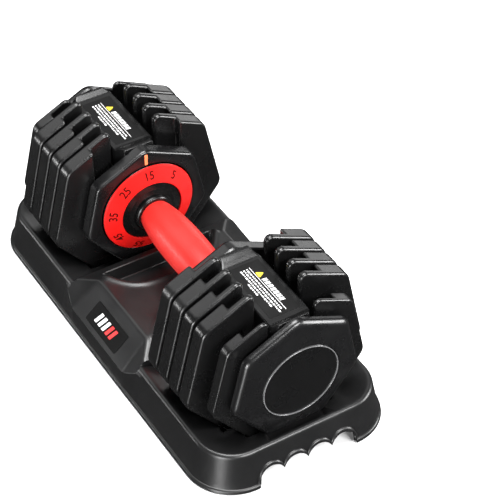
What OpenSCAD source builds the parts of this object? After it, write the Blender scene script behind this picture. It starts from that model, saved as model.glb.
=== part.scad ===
// Adjustable dumbbell seated in its storage tray.
// X runs along the grip, Y across the tray, Z up. The origin is on the ground under the middle of the grip.
// Right-hand parts lie at +X. Left-hand parts are their mirror images.

/* [Plates] */
// Radius through the corners of the seven-sided large plates
plate_radius = 91; // [88:0.5:92]
// Radius through the corners of the small outer plate
small_plate_radius = 78.5; // [76:0.5:82]
// Thickness of a large plate
plate_thickness = 16.9; // [16.5:0.1:17.1]
// Distance from one large plate to the next
plate_pitch = 17.7; // [17.5:0.1:18]
// Thickness of the small outer plate
small_plate_thickness = 12; // [11.5:0.1:12.5]
// Inner face of the first plate, from the middle of the grip
plates_start = 83; // [82.8:0.1:83.5]
// Rounding of the plate corners
plate_corner = 6; // [3:0.5:9]
// Half the width of the slot that the handle core drops into
slot_half = 22; // [21.5:0.25:23]
// Half the width of the recess around a selector disc
recess_half = 44; // [40:0.5:46]

/* [Handle] */
// Half the length of the grip
grip_half = 55; // [50:1:56]
// Radius of the grip at its ends
grip_end_radius = 15; // [14:0.25:16]
// Radius of the grip at its middle
grip_mid_radius = 20; // [18:0.25:22]
// Outer radius of the dial and its number ring
dial_radius = 46.5; // [45:0.25:46.5]
// Inner radius of the number ring
ring_inner_radius = 30.6; // [28:0.2:33]
// Radius through the corners of the inner and end caps
cap_radius = 64.5; // [63:0.5:66]
// Turn of the dial from one weight to the next, in degrees
weight_step = 40; // [38:1:40]

/* [Tray] */
// Length of the tray at the ground
tray_length = 417; // [415:1:424]
// Width of the tray at the ground
tray_width = 192; // [190:1:198]
// Height of the tray's rim
tray_height = 39; // [37:0.5:41]
// Corner radius of the tray at the ground
tray_corner = 45; // [42:1:48]
// Inward lean of the skirt from the ground to the rim
tray_draft = 10.5; // [9:0.5:12]
// Wall thickness of the tray
tray_wall = 3; // [2.5:0.1:3.5]

/* [Hidden] */
$fn = 64;
sides = 7;
half_side = 180 / sides;
plate_rest_z = 8;
axis_z = plate_rest_z + plate_radius * cos(half_side);
settings = 6;
rest_setting = 1;
large_plates = 4;

recess_depth = 9.3;
small_recess_depth = 7.2;
small_plate_start = 162;
edge_clearance = 1;

disc_gap = 1.2;
disc_thickness = 3.5;
disc_radius = 35;
lip_inner = 29;
lip_outer = 33.5;
lip_height = 4;
small_disc_gap = 1;
small_disc_thickness = 2.5;
small_lip_height = 3.1;
hook_inner = 22.4;
hook_outer = 28.4;
hook_half_angle = 14;
hook_gap = 0.5;
lip_margin = 22;

tube_radius = 12;
tube_bore = 6.3;
tube_half = 176;
tube_flat_half = 10.5;
tube_flat_start = 81.9;
axle_radius = 6;
axle_half = 187;
spacer_radius = 16;
fit = 0.05;

collar_start = 55;
dial_front = 60.5;
dial_edge = 66.5;
dial_back = 72;
ring_thickness = 1.4;
lock_ring_inner = 37;
lock_ring_outer = 43;
lock_ring_back = 76;
notch_radius = 40.6;
notch_half = 4;
dimple_orbit = 26;

cap_front = 68.7;
cap_wall_front = 76.2;
cap_back = 81.5;
cap_corner = 5;
cap_clearance = 1.2;
dial_opening = 47.3;
bush_radius = 14;

spine_half = 20;
spine_top = 57.7;
spine_bottom = 37;
spine_end = 177;
lug_start = 169.3;
lug_bottom = 22;

end_cap_edge = 186;
end_cap_face = 190.4;
end_disc_radius = 37;
end_disc_back = 188;
end_disc_face = 191;
nut_pocket_start = 181;
nut_pocket_radius = 14;

pin_half = 4;
pin_back = 79.8;
pin_bottom = 52;
pin_top = 30;
tooth_height = 6;
tooth_front = 72.6;
tooth_half = 3;
spring_top = 23;

dish_floor = 28;
dish_wall = 18;
rim_width = 4.5;
block_half = 64;
saddle_z = 46.2;
pad_top_z = 48.8;
pad_top_y = 65.6;
pad_low_z = 23.3;
pad_low_y = 94.4;
pad_top_x = 43.2;
pad_low_x = 47.4;
pad_rim_x = 70;
pad_rim_y = 87;
scoop_far_x = 53;
scoop_near_x = 19.5;
scoop_half_y = 62;
scoop_depth = 15;
skirt_lip_height = 4;
skirt_lip_out = 1.2;
scallop_radius = 13.1;
scallop_pitch = 24.1;
scallop_z = 5.4;
post_front = 76.9;
post_back = 79.3;
badge_half = 27.4;
badge_rise = 10.7;
badge_y = 82.75;
badge_z = 33.62;
foot_height = 1;
foot_radius = 9;

// ---------- helpers ----------

// Corners of a regular seven-sided outline with one corner at the top
function corner(radius, i) = radius * [sin(i * 2 * half_side), cos(i * 2 * half_side)];

// Seven-sided outline with round corners, in the YZ plane of a plate
module heptagon(radius, rounding) {
    steps = 6;
    inner = radius - rounding / cos(half_side);
    polygon([for (i = [0:sides - 1], t = [0:steps])
        let (a = (2 * i - 1 + 2 * t / steps) * half_side) corner(inner, i) + rounding * [sin(a), cos(a)]]);
}

// Extrudes a YZ outline, drawn about the grip's axis, from x0 to x1
module along_x(x0, x1) {
    translate([x0, 0, axis_z]) rotate([90, 0, 90]) linear_extrude(x1 - x0) children();
}

// Turns a profile of [radius, x] points about the grip's axis
module around_axis() {
    translate([0, 0, axis_z]) rotate([0, 90, 0]) rotate_extrude($fn = 96) children();
}

// A round bar or hole about the grip's axis
module axis_cylinder(x0, x1, radius) {
    translate([x0, 0, axis_z]) rotate([0, 90, 0]) cylinder(h = x1 - x0, r = radius);
}

// Ring sector between two angles, measured clockwise from the top as seen from +X
module sector(inner, outer, from, to) {
    reach = outer * 1.5;
    steps = ceil((to - from) / 30);
    difference() {
        intersection() {
            circle(outer);
            polygon([[0, 0], for (i = [0:steps]) let (a = from + (to - from) * i / steps)
                reach * [sin(a), cos(a)]]);
        }
        circle(inner);
    }
}

module left() { mirror([1, 0, 0]) children(); }
module both() { children(); left() children(); }

// Box with upright corners of radius r, whose sides lean inward by draft over height h
module drafted_box(l, w, r, h, draft) {
    rotate([90, 0, 0]) translate([0, 0, r - w / 2]) linear_extrude(w - 2 * r)
        polygon([[-l / 2, 0], [l / 2, 0], [l / 2 - draft, h], [draft - l / 2, h]]);
    rotate([90, 0, 90]) translate([0, 0, r - l / 2]) linear_extrude(l - 2 * r)
        polygon([[-w / 2, 0], [w / 2, 0], [w / 2 - draft, h], [draft - w / 2, h]]);
    for (sx = [-1, 1], sy = [-1, 1])
        translate([sx * (l / 2 - r), sy * (w / 2 - r), 0]) cylinder(h = h, r1 = r, r2 = r - draft);
}

// ---------- plates ----------

function plate_x(k) = k <= large_plates ? plates_start + (k - 1) * plate_pitch : small_plate_start;

// Weight plate k: slotted for the core, recessed for its selector disc, with a hook under the slot
module plate(k) {
    small = k > large_plates;
    radius = small ? small_plate_radius : plate_radius;
    thickness = small ? small_plate_thickness : plate_thickness;
    depth = small ? small_recess_depth : recess_depth;
    disc_back = small ? small_disc_gap + small_disc_thickness : disc_gap + disc_thickness;
    x = plate_x(k);
    color([0.16, 0.16, 0.165]) union() {
        difference() {
            along_x(x, x + thickness) heptagon(radius, plate_corner);
            along_x(x - 1, x + depth) {
                circle(recess_half);
                translate([-recess_half, 0]) square([2 * recess_half, radius]);
            }
            along_x(x - 1, x + thickness + 1) {
                circle(slot_half);
                translate([-slot_half, 0]) square([2 * slot_half, radius]);
            }
        }
        along_x(x + disc_back + hook_gap, x + depth + 1)
            sector(hook_inner, hook_outer, 180 - hook_half_angle, 180 + hook_half_angle);
    }
}

// ---------- selector ----------

// Angle range of disc k's lip at rest, clockwise from the top: it passes under the hook for settings k and up
function lip_from() = 180 - (settings - 1 - rest_setting) * weight_step - lip_margin;
function lip_to(k) = 180 - (k - rest_setting) * weight_step + lip_margin;

module tube_outline(extra) {
    intersection() {
        circle(tube_radius + extra);
        square([2 * (tube_flat_half + extra), 3 * tube_radius], center = true);
    }
}

module selector_disc(k) {
    small = k > large_plates;
    x = plate_x(k) + (small ? small_disc_gap : disc_gap);
    thickness = small ? small_disc_thickness : disc_thickness;
    lip = small ? small_lip_height : lip_height;
    color([0.75, 0.72, 0.62]) difference() {
        union() {
            along_x(x, x + thickness) circle(disc_radius);
            along_x(x + thickness - 0.5, x + thickness + lip)
                sector(lip_inner, lip_outer, lip_from(), lip_to(k));
        }
        along_x(x - 1, x + thickness + lip + 1) tube_outline(fit);
        for (a = [30:60:330])
            translate([x - 1, 21.5 * sin(a), axis_z + 21.5 * cos(a)]) rotate([0, 90, 0])
                cylinder(h = thickness + 2, r = 3.5);
    }
}

function disc_x0(k) = plate_x(k) + (k > large_plates ? small_disc_gap : disc_gap);
function disc_x1(k) = disc_x0(k) + (k > large_plates ? small_disc_thickness : disc_thickness);

// Sleeves that hold the selector discs apart on the tube
module disc_spacers() {
    edges = [cap_back + 0.6, for (k = [1:large_plates + 1]) each [disc_x0(k), disc_x1(k)], tube_half - 0.6];
    color([0.3, 0.3, 0.32]) for (i = [0:large_plates + 1]) difference() {
        along_x(edges[2 * i] + fit, edges[2 * i + 1] - fit) circle(spacer_radius);
        along_x(edges[2 * i] - 1, edges[2 * i + 1] + 1) tube_outline(fit);
    }
}

module grip_tube() {
    color("silver") difference() {
        union() {
            axis_cylinder(-tube_flat_start, tube_flat_start, tube_radius);
            along_x(-tube_half, tube_half) tube_outline(0);
        }
        axis_cylinder(-tube_half - 1, tube_half + 1, tube_bore);
    }
}

// Barrel-shaped sleeve, fattest in the middle
module grip() {
    steps = 16;
    color([0.85, 0.12, 0.1]) around_axis() polygon([
        [tube_radius + fit, -grip_half],
        for (i = [0:steps]) let (u = i / steps * 2 - 1)
            [grip_end_radius + (grip_mid_radius - grip_end_radius) * (1 - pow(abs(u), 2.4)), u * grip_half],
        [tube_radius + fit, grip_half]
    ]);
}

module collar() {
    color([0.08, 0.08, 0.08]) around_axis() polygon([
        [tube_radius + fit, collar_start + fit], [17.4, collar_start + fit], [18.4, collar_start + 1],
        [18.4, collar_start + 4.2], [17.8, dial_front - 1.2], [tube_radius + fit, dial_front - 1.2]
    ]);
}

// Dial body: a shallow cone with a seat for the number ring and the lock ring behind it
module dial() {
    color([0.07, 0.07, 0.07]) difference() {
        around_axis() polygon([
            [tube_radius + fit, dial_front - 1.1], [20, dial_front - 1.1], [24, dial_front + 0.3],
            [ring_inner_radius - 0.4, dial_front + 0.9], [ring_inner_radius - 0.4, dial_front + 1.9],
            [dial_radius, dial_edge + 1.6], [dial_radius, dial_back], [lock_ring_outer, dial_back],
            [lock_ring_outer, lock_ring_back], [lock_ring_inner, lock_ring_back],
            [lock_ring_inner, dial_back], [tube_radius + fit, dial_back]
        ]);
        for (s = [0:settings - 1]) {
            a = 180 - (s - rest_setting) * weight_step;
            translate([dial_back, 0, axis_z]) rotate([-a, 0, 0])
                translate([0, -notch_half, lock_ring_inner - 1])
                    cube([lock_ring_back - dial_back + 1, 2 * notch_half, notch_radius - lock_ring_inner + 1]);
        }
        for (i = [0:8]) {
            a = i * weight_step;
            translate([dial_back + 1.6, dimple_orbit * sin(a), axis_z + dimple_orbit * cos(a)]) sphere(2.4);
        }
    }
}

module number_ring() {
    inner = ring_inner_radius;
    color([0.9, 0.1, 0.08]) around_axis() polygon([
        [inner, dial_front + 0.3], [inner + 0.4, dial_front], [dial_radius - 0.4, dial_edge],
        [dial_radius, dial_edge + 0.3], [dial_radius, dial_edge + 1.55], [inner, dial_front + 1.85]
    ]);
}

// ---------- core ----------

module inner_cap() {
    groove_top = spring_top - 0.5;
    color([0.12, 0.12, 0.125]) difference() {
        along_x(cap_front, cap_back) heptagon(cap_radius, cap_corner);
        axis_cylinder(cap_front - 1, cap_wall_front, dial_opening);
        axis_cylinder(cap_front - 1, cap_back + 1, bush_radius);
        translate([cap_wall_front - 1, -pin_half - 0.3, axis_z - cap_radius])
            cube([pin_back - cap_wall_front + 1.3, 2 * pin_half + 0.6, cap_radius - groove_top]);
        translate([cap_wall_front - 1, 0, axis_z + dimple_orbit]) rotate([0, 90, 0])
            cylinder(h = 5, r = 2.7);
        inner_screw_places() translate([0, 0, -0.1]) cylinder(h = 2.4, r = 3.4);
        inner_screw_places() cylinder(h = 8, r = 2.1);
        translate([cap_front - 1, -1.6, axis_z + 48.4]) cube([1.8, 3.2, 12]);
    }
}

// Places of the two screws that hold the inner cap to the spine, heads towards the grip
module inner_screw_places() {
    for (s = [-1, 1]) translate([cap_wall_front, s * 12, axis_z + 41.5]) rotate([0, 90, 0]) children();
}

module end_screw_places() {
    for (s = [-1, 1]) translate([nut_pocket_start, s * 11, axis_z + 29]) rotate([0, 90, 0]) children();
}

module pointer() {
    color([0.85, 0.3, 0.15]) translate([cap_front - 0.25, -1.5, axis_z + 48.5]) cube([1, 3, 11.6]);
}

// Bridge over the discs that joins the inner cap to the end cap
module spine() {
    color([0.09, 0.09, 0.09]) difference() {
        union() {
            translate([cap_back, -spine_half, axis_z + spine_bottom])
                cube([spine_end - cap_back, 2 * spine_half, spine_top - spine_bottom]);
            translate([lug_start, -spine_half + 2, axis_z + lug_bottom])
                cube([spine_end - lug_start, 2 * spine_half - 4, spine_bottom - lug_bottom + 1]);
            intersection() {
                around_axis() {
                    polygon([[50, cap_back], [60.5, cap_back], [54, cap_back + 11], [50, cap_back + 11]]);
                    polygon([[50, spine_end], [60.5, spine_end], [54, spine_end - 10], [50, spine_end - 10]]);
                }
                translate([cap_back, -spine_half, axis_z + 40])
                    cube([spine_end - cap_back, 2 * spine_half, 40]);
            }
        }
        inner_screw_places() cylinder(h = 17, r = 1.8);
        for (s = [-1, 1]) translate([lug_start + 0.7, s * 11, axis_z + 29]) rotate([0, 90, 0])
            cylinder(h = 10, r = 1.8);
    }
}

module spine_label() {
    color([0.05, 0.05, 0.05]) translate([97, -15, axis_z + spine_top]) cube([68, 30, 0.3]);
}

// End cap: its face rises gently from the bevelled rim to the round disc
module end_cap() {
    color([0.14, 0.14, 0.145]) difference() {
        union() {
            along_x(spine_end, end_cap_edge) heptagon(cap_radius, cap_corner);
            around_axis() polygon([[0, end_cap_edge - 1], [56, end_cap_edge - 1], [56, end_cap_edge],
                [44, end_cap_face], [0, end_cap_face]]);
        }
        axis_cylinder(end_disc_back, end_cap_face + 1, end_disc_radius + 0.3);
        axis_cylinder(nut_pocket_start, end_disc_back + 1, nut_pocket_radius);
        axis_cylinder(spine_end - 1, end_cap_face, axle_radius + fit);
        end_screw_places() cylinder(h = 8, r = 3.8);
        end_screw_places() translate([0, 0, -6]) cylinder(h = 8, r = 2.1);
    }
}

module end_disc() {
    color([0.1, 0.1, 0.105]) around_axis() polygon([
        [0, end_disc_back], [end_disc_radius, end_disc_back], [end_disc_radius, end_disc_face - 0.2],
        [end_disc_radius - 0.6, end_disc_face], [end_disc_radius - 1.4, end_disc_face - 0.8],
        [0, end_disc_face - 0.8]
    ]);
}

module core_axle() {
    color("silver") axis_cylinder(-axle_half, axle_half, axle_radius);
}

module axle_nut() {
    color([0.7, 0.7, 0.72]) difference() {
        along_x(nut_pocket_start + fit, nut_pocket_start + 6) rotate(30) circle(9.8, $fn = 6);
        axis_cylinder(nut_pocket_start - 1, nut_pocket_start + 7, axle_radius + 0.02);
    }
}

module tube_bush() {
    color([0.8, 0.75, 0.6]) difference() {
        axis_cylinder(cap_wall_front, cap_back, bush_radius - 0.02);
        axis_cylinder(cap_wall_front - 1, cap_back + 1, tube_radius + 0.06);
    }
}

module thrust_washer() {
    color([0.8, 0.75, 0.6]) difference() {
        axis_cylinder(tube_half + fit, spine_end - fit, 13);
        axis_cylinder(tube_half, spine_end, axle_radius + 0.1);
    }
}

module inner_cap_screws() {
    color([0.25, 0.25, 0.26]) inner_screw_places() difference() {
        union() {
            translate([0, 0, 0.3]) cylinder(h = 2, r = 3.2);
            cylinder(h = 16, r = 1.78);
        }
        translate([0, 0, 0.2]) cylinder(h = 1.4, r = 1.5, $fn = 6);
    }
}

module end_cap_screws() {
    color([0.25, 0.25, 0.26]) end_screw_places() difference() {
        union() {
            cylinder(h = 3, r = 3.5);
            translate([0, 0, -10.5]) cylinder(h = 11, r = 1.78);
        }
        translate([0, 0, 1.4]) cylinder(h = 2, r = 1.5, $fn = 6);
    }
}

module detent_plunger() {
    color([0.7, 0.7, 0.72]) translate([0, 0, axis_z + dimple_orbit]) rotate([0, 90, 0]) {
        translate([0, 0, dial_back + 2.6]) cylinder(h = 3, r = 2.4);
        translate([0, 0, dial_back + 2.6]) sphere(2.4);
    }
}

// Coil of wire from the origin up +Z
module coil(radius, wire, height, turns) {
    around = 10;
    ring = 6;
    n = turns * around;
    function point(i, j) = let (a = i * 360 / around, b = j * 360 / ring, r = radius + wire * cos(b))
        [r * cos(a), r * sin(a), wire + (height - 2 * wire) * i / n + wire * sin(b)];
    polyhedron(
        points = [for (i = [0:n], j = [0:ring - 1]) point(i, j)],
        faces = [
            [for (j = [0:ring - 1]) j],
            for (i = [0:n - 1], j = [0:ring - 1])
                each [[i * ring + j, (i + 1) * ring + j, (i + 1) * ring + (j + 1) % ring],
                    [i * ring + j, (i + 1) * ring + (j + 1) % ring, i * ring + (j + 1) % ring]],
            [for (j = [ring - 1:-1:0]) n * ring + j]
        ]
    );
}

module detent_spring() {
    color([0.7, 0.7, 0.72]) translate([dial_back + 5.65, 0, axis_z + dimple_orbit]) rotate([0, 90, 0])
        coil(1.9, 0.25, 2.4, 4);
}

// ---------- lock ----------

// Lock pin, held up by the tray's post: its tooth stays inside the lock ring and drops into a notch on lifting
module lock_pin() {
    color([0.75, 0.75, 0.77]) {
        translate([cap_wall_front + 0.1, -pin_half, axis_z - pin_bottom])
            cube([pin_back - cap_wall_front - 0.1, 2 * pin_half, pin_bottom - pin_top]);
        translate([tooth_front, -tooth_half, axis_z - pin_top - tooth_height])
            cube([cap_wall_front - tooth_front + 1, 2 * tooth_half, tooth_height]);
    }
}

module lock_spring() {
    color([0.7, 0.7, 0.72]) translate([(cap_wall_front + pin_back) / 2 + 0.1, 0, axis_z - pin_top])
        coil(1.2, 0.25, pin_top - spring_top - 0.1, 5);
}

// ---------- tray ----------

pad_slope = atan2(pad_top_z - pad_low_z, pad_low_y - pad_top_y);

// Wells that the plates of one head stand in, with their floors under the plates
module head_wells() {
    plates_end = plate_x(large_plates) + plate_thickness;
    small_end = small_plate_start + small_plate_thickness;
    along_x(plates_start - edge_clearance, plates_end + edge_clearance) difference() {
        heptagon(plate_radius + edge_clearance / cos(half_side), plate_corner);
        translate([-plate_radius, plate_rest_z - axis_z - 20 - fit]) square([2 * plate_radius, 20]);
    }
    along_x(small_plate_start - edge_clearance, small_end + edge_clearance) difference() {
        heptagon(small_plate_radius + edge_clearance / cos(half_side), plate_corner);
        translate([-plate_radius, -small_plate_radius * cos(half_side) - 20 - fit]) square([2 * plate_radius, 20]);
    }
}

// Pocket in the end wall of the dish that the end cap dips into
module cap_pocket() {
    along_x(spine_end, end_cap_face + 1.6) heptagon(cap_radius + cap_clearance / cos(half_side), cap_corner);
}

// Outside of the wells' walls below the dish
module head_well_walls() {
    plates_end = plate_x(large_plates) + plate_thickness;
    reach = edge_clearance + tray_wall;
    along_x(plates_start - reach, plates_end + reach) heptagon(plate_radius + reach / cos(half_side), plate_corner + tray_wall);
    along_x(plates_end, small_plate_start + small_plate_thickness + reach)
        heptagon(small_plate_radius + reach / cos(half_side), plate_corner + tray_wall);
}

// Hollow under the grip for the fingers: straight on the head's side, bowed towards the middle
module finger_scoop() {
    r = (pow(scoop_half_y, 2) + pow(scoop_far_x - scoop_near_x, 2)) / (2 * (scoop_far_x - scoop_near_x));
    translate([0, 0, saddle_z - scoop_depth]) intersection() {
        translate([scoop_near_x + r, 0, 0]) cylinder(h = 40, r = r, $fn = 128);
        translate([scoop_near_x - 5, -scoop_half_y - 10, 0])
            cube([scoop_far_x - scoop_near_x + 5, 2 * scoop_half_y + 20, 40]);
    }
}

// Space above the front badge pad and above the facets that lead from it to the rim
module pad_cut() {
    top = 60;
    out = 110;
    a = [pad_top_x, -pad_top_y, pad_top_z];
    b = [pad_low_x, -pad_low_y, pad_low_z];
    d = [pad_rim_x, -pad_rim_y, tray_height];
    n = cross(b - a, d - a);
    upper = a + (a - b) * (top - pad_top_z) / (pad_top_z - pad_low_z);
    lower = a + (b - a) * (out - pad_top_y) / (pad_low_y - pad_top_y);
    far_x = a[0] - (n[1] * (pad_top_y - out) + n[2] * (top - pad_top_z)) / n[0];
    polyhedron(
        points = [[-upper[0], upper[1], top], [upper[0], upper[1], top], [lower[0], -out, lower[2]],
            [-lower[0], -out, lower[2]], [far_x, -out, top], [-far_x, -out, top]],
        faces = [[3, 2, 1, 0], [2, 4, 1], [5, 3, 0], [5, 4, 2, 3], [1, 4, 5, 0]]
    );
}

// Block under the grip whose ends slope down towards the heads
module centre_block() {
    end_z = pad_top_z - (pad_top_z - tray_height) * (block_half - pad_top_x) / (pad_rim_x - pad_top_x);
    rotate([90, 0, 0]) translate([0, 0, -pad_rim_y]) linear_extrude(2 * pad_rim_y) polygon([
        [-block_half, dish_floor - tray_wall], [-block_half, end_z], [-pad_top_x, pad_top_z],
        [pad_top_x, pad_top_z], [block_half, end_z], [block_half, dish_floor - tray_wall]
    ]);
}

// Row of arches that lets the hand under the end of the tray
module scallops() {
    for (i = [-1.5:1:1.5])
        translate([tray_length / 2 - 12, i * scallop_pitch, scallop_z]) rotate([0, 90, 0])
            cylinder(h = 24, r = scallop_radius);
    half = 1.5 * scallop_pitch + scallop_radius;
    translate([tray_length / 2 - 12, -half, -1]) cube([24, 2 * half, scallop_z + 1]);
}

module skirt() {
    translate([0, 0, foot_height]) {
        drafted_box(tray_length - 2 * skirt_lip_out, tray_width - 2 * skirt_lip_out, tray_corner - skirt_lip_out,
            tray_height - foot_height, tray_draft - skirt_lip_out);
        drafted_box(tray_length, tray_width, tray_corner, skirt_lip_height, 0.6);
    }
}

// Sloping-sided dish around the heads, up past the rim
module dish() {
    depth = tray_height - dish_floor;
    inset = 2 * (tray_draft + rim_width + dish_wall);
    up = dish_wall * (depth + 1) / depth;
    difference() {
        translate([0, 0, dish_floor]) drafted_box(tray_length - inset, tray_width - inset,
            tray_corner - inset / 2, depth + 1, -up);
        translate([-block_half, -tray_width, 0]) cube([2 * block_half, 2 * tray_width, 60]);
    }
}

module foot_places() {
    for (x = [-186, 0, 186], y = [-70, 70]) translate([x, y * (x == 0 ? 1.06 : 0.8), 0]) children();
}

// Open space under the dish and the block
module underside() {
    height = dish_floor - tray_wall;
    inset = 2 * tray_wall;
    lean = tray_draft * height / (tray_height - foot_height);
    difference() {
        union() {
            translate([0, 0, -1]) drafted_box(tray_length - inset, tray_width - inset, tray_corner - inset / 2,
                height + 1, lean);
            translate([-scoop_near_x + 5, -55, 0]) cube([2 * scoop_near_x - 10, 110, saddle_z - 6]);
        }
        for (m = [0, 1]) mirror([m, 0, 0]) {
            head_well_walls();
            translate([tray_length / 2 - 32, -1.5 * scallop_pitch - 18, -2]) cube([32, 3 * scallop_pitch + 36, 40]);
        }
        foot_places() translate([0, 0, -2]) cylinder(h = 30, r = foot_radius + 3);
    }
}

module badge_place() {
    translate([0, -badge_y, badge_z]) rotate([pad_slope, 0, 0]) children();
}

module tray() {
    saddle_r = (pow(pad_top_y, 2) + pow(pad_top_z - saddle_z, 2)) / (2 * (pad_top_z - saddle_z));
    color([0.2, 0.2, 0.205]) difference() {
        union() {
            difference() {
                skirt();
                dish();
                underside();
            }
            difference() {
                centre_block();
                underside();
            }
            for (m = [0, 1]) mirror([m, 0, 0]) {
                translate([73, -6, dish_floor - 1]) cube([8, 12, 3.5]);
                translate([post_front, -3.5, dish_floor - 1])
                    cube([post_back - post_front, 7, axis_z - pin_bottom - dish_floor + 1 - fit]);
            }
        }
        translate([-block_half - 1, 0, saddle_z + saddle_r]) rotate([0, 90, 0])
            cylinder(h = 2 * block_half + 2, r = saddle_r, $fn = 256);
        for (m = [0, 1]) {
            mirror([0, m, 0]) {
                pad_cut();
                badge_place() translate([-badge_half - 0.2, -badge_rise - 0.2, -0.6])
                    cube([2 * badge_half + 0.4, 2 * badge_rise + 0.4, 2]);
            }
            mirror([m, 0, 0]) {
                head_wells();
                cap_pocket();
                finger_scoop();
                scallops();
            }
        }
        foot_places() translate([0, 0, -1]) cylinder(h = 4, r = foot_radius + 0.1);
    }
}

module tray_feet() {
    color([0.05, 0.05, 0.05]) foot_places() cylinder(h = 2.95, r = foot_radius);
}

module badge() {
    color([0.04, 0.04, 0.04]) badge_place() translate([-badge_half, -badge_rise, -0.6])
        cube([2 * badge_half, 2 * badge_rise, 1.1]);
}

tray();
tray_feet();
badge();  // badge_front
mirror([0, 1, 0]) badge();  // badge_rear
plate(1);  // plate_1_right
plate(2);  // plate_2_right
plate(3);  // plate_3_right
plate(4);  // plate_4_right
plate(5);  // plate_5_right
left() plate(1);  // plate_1_left
left() plate(2);  // plate_2_left
left() plate(3);  // plate_3_left
left() plate(4);  // plate_4_left
left() plate(5);  // plate_5_left
spine();  // spine_right
left() spine();  // spine_left
spine_label();  // spine_label_right
left() spine_label();  // spine_label_left
inner_cap();  // inner_cap_right
left() inner_cap();  // inner_cap_left
pointer();  // pointer_right
left() pointer();  // pointer_left
end_cap();  // end_cap_right
left() end_cap();  // end_cap_left
end_disc();  // end_disc_right
left() end_disc();  // end_disc_left
core_axle();
both() axle_nut();  // axle_nuts
both() tube_bush();  // tube_bushes
both() thrust_washer();  // thrust_washers
both() inner_cap_screws();
both() end_cap_screws();
both() detent_plunger();  // detent_plungers
both() detent_spring();  // detent_springs
lock_spring();  // lock_spring_right
left() lock_spring();  // lock_spring_left
lock_pin();  // lock_pin_right
left() lock_pin();  // lock_pin_left
grip();
grip_tube();
both() collar();  // grip_collars
dial();  // dial_right
left() dial();  // dial_left
number_ring();  // number_ring_right
left() number_ring();  // number_ring_left
selector_disc(1);  // selector_disc_1_right
selector_disc(2);  // selector_disc_2_right
selector_disc(3);  // selector_disc_3_right
selector_disc(4);  // selector_disc_4_right
selector_disc(5);  // selector_disc_5_right
left() selector_disc(1);  // selector_disc_1_left
left() selector_disc(2);  // selector_disc_2_left
left() selector_disc(3);  // selector_disc_3_left
left() selector_disc(4);  // selector_disc_4_left
left() selector_disc(5);  // selector_disc_5_left
disc_spacers();  // disc_spacers_right
left() disc_spacers();  // disc_spacers_left
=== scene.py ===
import math

import bmesh
import bpy
from mathutils import Matrix, Vector


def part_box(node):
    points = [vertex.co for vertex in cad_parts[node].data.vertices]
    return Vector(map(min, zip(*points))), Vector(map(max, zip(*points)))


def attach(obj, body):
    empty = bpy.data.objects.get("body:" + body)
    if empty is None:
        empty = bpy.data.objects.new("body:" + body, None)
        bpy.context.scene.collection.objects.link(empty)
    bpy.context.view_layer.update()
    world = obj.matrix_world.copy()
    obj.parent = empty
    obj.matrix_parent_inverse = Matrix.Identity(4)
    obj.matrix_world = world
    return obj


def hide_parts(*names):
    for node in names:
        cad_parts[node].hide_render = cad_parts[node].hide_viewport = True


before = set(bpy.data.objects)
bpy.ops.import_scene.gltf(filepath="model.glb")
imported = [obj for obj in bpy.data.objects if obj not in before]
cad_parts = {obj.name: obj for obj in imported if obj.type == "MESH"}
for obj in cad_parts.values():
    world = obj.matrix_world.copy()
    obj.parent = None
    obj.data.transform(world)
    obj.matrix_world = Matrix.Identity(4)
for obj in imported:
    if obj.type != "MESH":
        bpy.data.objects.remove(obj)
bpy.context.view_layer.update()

# Sizes are in mm, apart from those of the studio. The tray stands on z = 0 and the grip runs along x.
AXIS = 89.989                  # height of the grip's axis
HALF = math.pi / 7             # half of one side of the seven-sided outline
BOTH = ((1, "right"), (-1, "left"))          # the two heads, mirrored about x = 0

PITCH, FIRST, THICK = 17.7, 83.95, 15.15     # large plates: spacing, start of the first, thickness
PLATE_R, PLATE_CORNER, PLATE_DEPTH = 90.9, 13.5, 8.3    # outline, its rounds, depth of the recess
SMALL_X, SMALL_T = 162.3, 11.4               # small plate: start and thickness
SMALL_R, SMALL_CORNER, SMALL_DEPTH = 78.4, 12.0, 6.8
SLOT, RECESS, SLOT_TIP = 22.0, 44.0, 5.5     # half widths of a plate's slot and recess, round of its tips
HOOK_OUT, HOOK_IN = 28.2, 22.6               # radii of the catch under a plate's slot
HOOK_HALF = math.radians(13.8)               # half of the turn that the catch covers

CAP_R = 64.4                                 # corner radius of the caps' outline from the axis
CAP_FRONT, CAP_WALL, CAP_BACK = 68.7, 76.2, 81.5     # inner cap: front, wall behind the dial, back
END_BACK, END_EDGE, END_TOP = 177.0, 186.0, 190.3    # end cap: back, edge of its face, crown
DISC_BACK, DISC_FRONT, DISC_R = 188.08, 190.0, 35.75

SPINE_Z, SPINE_HALF = 57.6, 19.9             # top of the spine above the axis, half of its width
LABEL_X0, LABEL_X1, LABEL_HALF = 97.5, 164.5, 14.8   # ends and half width of the label film
DASH_ROWS = ((104.0, -0.5, 56), (104.0, -3.3, 57), (104.0, -6.1, 50), (120.0, -8.9, 17))  # start, y, length

STEP = 40.0                                  # turn of the dial for one weight, degrees
WEIGHTS = ("5", "15", "25", "35", "45", "55")
NUMBER_R, NUMBER_SIZE = 38.6, 10.4           # orbit and height of the dial's numbers
RING_IN, RING_OUT = 30.65, 46.45             # red number ring
LOCK_IN, LOCK_NOTCH, LOCK_OUT = 37.05, 40.75, 42.95  # radii of the lock ring and of its notches' roots
LOCK_FRONT, LOCK_BACK = 71.9, 75.95
NOTCH_HALF = 0.110                           # half of a notch, radians
GRIP_HALF, GRIP_END, GRIP_BULGE = 54.9, 15.0, 5.0    # half length, end radius, swelling in the middle

SHARP = math.radians(38)                     # edges sharper than this stay sharp
BEVELLED = math.radians(28)                  # edges sharper than this get a round


# ---------- small helpers ----------

def smooth(a, b, t):
    u = min(1.0, max(0.0, (t - a) / (b - a)))
    return u * u * (3 - 2 * u)


def lerp(a, b, t):
    return a + (b - a) * t


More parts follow.
